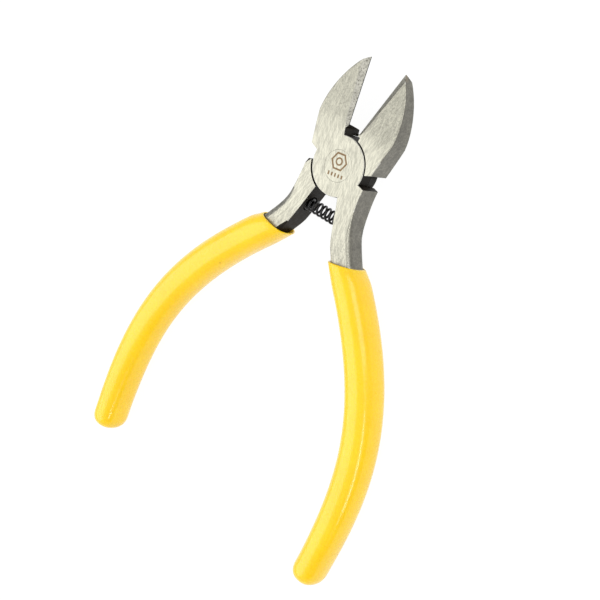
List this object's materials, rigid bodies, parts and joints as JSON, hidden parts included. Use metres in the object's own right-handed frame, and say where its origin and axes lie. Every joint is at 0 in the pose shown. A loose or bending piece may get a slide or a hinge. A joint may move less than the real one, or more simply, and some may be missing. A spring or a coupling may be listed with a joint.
{
  "type": "flush cut pliers",
  "caption": "Compact flush cut pliers with a half-lapped riveted joint, a coil return spring between the tangs and dipped vinyl handle sleeves.",
  "frame": {"origin": "centre of the pivot rivet's back end face, flush with the joint's back face", "axes": "+Y along the pliers towards the jaws, +Z out of the front face of the joint, X across the handles"},
  "size_m": [0.0756, 0.1093, 0.0093],
  "materials": {
    "ground_steel": "surface ground and belt brushed on the faces, dark forging scale left on the inner walls",
    "rivet_steel": "ground flush with the joint",
    "black_spring_wire": "black oxide on spring wire",
    "yellow_vinyl": "glossy dipped vinyl, golden yellow"
  },
  "bodies": {
    "front_half": {"front_lever": "ground_steel", "pivot_rivet": "rivet_steel", "return_spring": "black_spring_wire", "right_grip": "yellow_vinyl"},
    "rear_half": {"rear_lever": "ground_steel", "left_grip": "yellow_vinyl"}
  },
  "joints": [
    {"name": "cut", "type": "hinge", "parent": "front_half", "child": "rear_half", "pos_m": [0, 0, 0], "axis": [0, 0, 1], "range_deg": [-20, 23.1], "stiffness_Nm_per_rad": 0.97, "deforming": ["return_spring"]}
  ]
}
